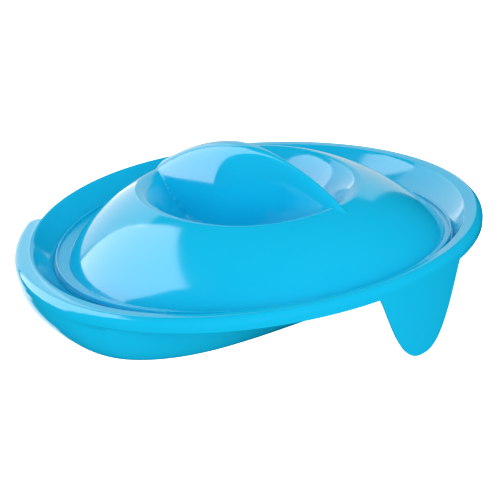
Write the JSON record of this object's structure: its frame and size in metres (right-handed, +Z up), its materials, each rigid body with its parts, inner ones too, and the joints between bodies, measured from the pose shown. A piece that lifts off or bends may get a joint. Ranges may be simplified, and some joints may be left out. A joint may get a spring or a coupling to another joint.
{
  "type": "bed pan with lid",
  "caption": "Round slipper bed pan with an inward seat, rolled flange and tongue handle, closed by a domed lift-off lid with a finger grip.",
  "frame": {"origin": "on the floor under the middle of the outline", "axes": "+Z up, +X towards the tongue handle at the high end, XZ is the plane of symmetry"},
  "size_m": [0.317, 0.3356, 0.1],
  "materials": {
    "pan_plastic": "gloss",
    "lid_plastic": "gloss"
  },
  "bodies": {
    "pan": {"pan": "pan_plastic"},
    "lid": {"lid": "lid_plastic"}
  },
  "joints": [
    {"name": "lid_lift", "type": "slide", "parent": "pan", "child": "lid", "axis": [0, 0, 1], "range_m": [0, 0.15]}
  ]
}
